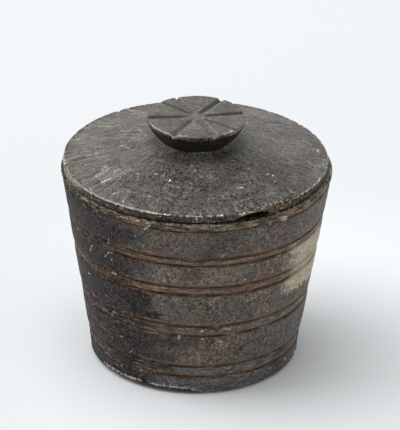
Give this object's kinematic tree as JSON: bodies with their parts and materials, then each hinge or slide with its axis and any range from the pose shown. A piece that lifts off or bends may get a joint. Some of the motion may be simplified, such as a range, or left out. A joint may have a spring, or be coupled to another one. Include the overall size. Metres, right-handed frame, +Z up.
{
  "type": "lidded stone box",
  "caption": "Round tapered container carved from soapstone, with paired grooves cut round its wall and a loose domed lid that lifts off by a flat-topped knob with radial strokes.",
  "frame": {"origin": "centre of the flat foot that the container stands on", "axes": "+Z up along the axis of the container and its lid; -Y is the front, where the lid's edge is chipped"},
  "size_m": [0.1342, 0.1342, 0.1266],
  "materials": {
    "dark_soapstone": "hand-carved, worn smooth, sooty brown-black with red earth in the grooves",
    "grey_soapstone": "hand-carved, worn and scratched, dull grey-brown with pale chipped edges"
  },
  "bodies": {
    "container": {"container_body": "dark_soapstone"},
    "lid": {"lid": "grey_soapstone"}
  },
  "joints": [
    {"name": "lid_lift", "type": "slide", "parent": "container", "child": "lid", "axis": [0, 0, 1], "range_m": [0, 0.08]}
  ]
}
